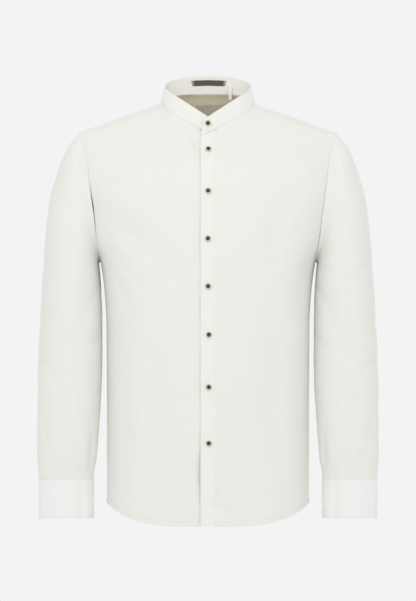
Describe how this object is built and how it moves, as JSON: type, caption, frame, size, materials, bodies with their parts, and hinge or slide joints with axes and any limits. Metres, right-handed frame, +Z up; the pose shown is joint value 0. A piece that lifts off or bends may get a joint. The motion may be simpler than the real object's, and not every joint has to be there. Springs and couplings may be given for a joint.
{
  "type": "mandarin collar shirt",
  "caption": "Long-sleeved men's linen shirt with a stand (mandarin) collar, buttoned front placket, back yoke, buttoned cuffs and a curved hem, in the hollow form it has when worn.",
  "frame": {"origin": "middle of the neck base, level with the side-neck points, where the wearer's neck and shoulders hold the shirt", "axes": "+Z up, the front of the shirt faces -Y, +X is the wearer's left"},
  "size_m": [0.616, 0.2328, 0.8145],
  "materials": {
    "linen": "off-white plain-weave linen, matt, lightly slubbed",
    "linen_collar": "the same linen, two layers pressed flat and edge-stitched",
    "linen_cuff": "the same linen, two layers pressed flat and edge-stitched",
    "horn": "horn-look, tan rim and near-black dished middle, satin gloss",
    "dark_tape": "dark grey-brown woven tape, bare",
    "label": "pale grey-beige woven label, bare",
    "white_tape": "white satin tape, bare"
  },
  "bodies": {
    "root": {"front_right": "linen", "front_left": "linen", "placket": "linen_collar", "back": "linen", "yoke": "linen", "collar": "linen_collar", "sleeve_right": "linen", "sleeve_left": "linen", "cuff_right": "linen_cuff", "cuff_left": "linen_cuff", "button_1": "horn", "button_2": "horn", "button_3": "horn", "button_4": "horn", "button_5": "horn", "button_6": "horn", "button_7": "horn", "button_8": "horn", "cuff_button_left": "horn", "cuff_button_right": "horn", "label_tape": "dark_tape", "label_neck": "label", "size_tab": "white_tape"}
  },
  "joints": []
}
